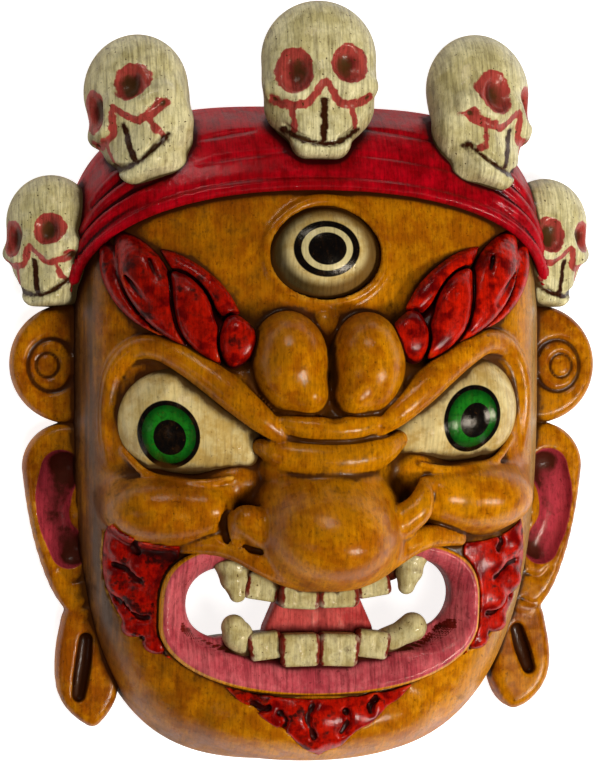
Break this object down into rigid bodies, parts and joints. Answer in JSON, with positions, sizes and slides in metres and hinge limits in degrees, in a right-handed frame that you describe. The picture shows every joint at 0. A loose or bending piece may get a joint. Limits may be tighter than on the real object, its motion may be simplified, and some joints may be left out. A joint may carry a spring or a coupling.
{
  "type": "carved wooden dance mask",
  "caption": "Wrathful face mask carved from one piece of wood, hollow behind, with headband, skull crown, flame brows, bared fangs and plate ears.",
  "frame": {"origin": "middle of the whole outline on the flat back rim, so the mask lies face up on it", "axes": "+Z out of the face, +Y from chin to crown, +X to the right as one looks at the face"},
  "size_m": [0.2988, 0.3732, 0.1218],
  "materials": {
    "painted_wood": "ochre oil paint over wood under amber varnish, brushed, dark glaze in the cuts",
    "band_crimson": "glossy crimson paint with fine brush streaks",
    "brow_red": "glossy orange-red paint with near-black glaze in the grooves",
    "bone_cream": "cream paint, fine dark streaks and specks, red lines",
    "lip_pink": "glossy rose-pink paint, streaked",
    "eye_ivory": "ivory paint with a painted iris, high gloss",
    "flame_red": "red painted flames with black strokes, glossy",
    "raw_wood": "bare carved wood, gouge marks, darkened by handling"
  },
  "bodies": {
    "root": {"carved_mask": "painted_wood"}
  },
  "joints": []
}
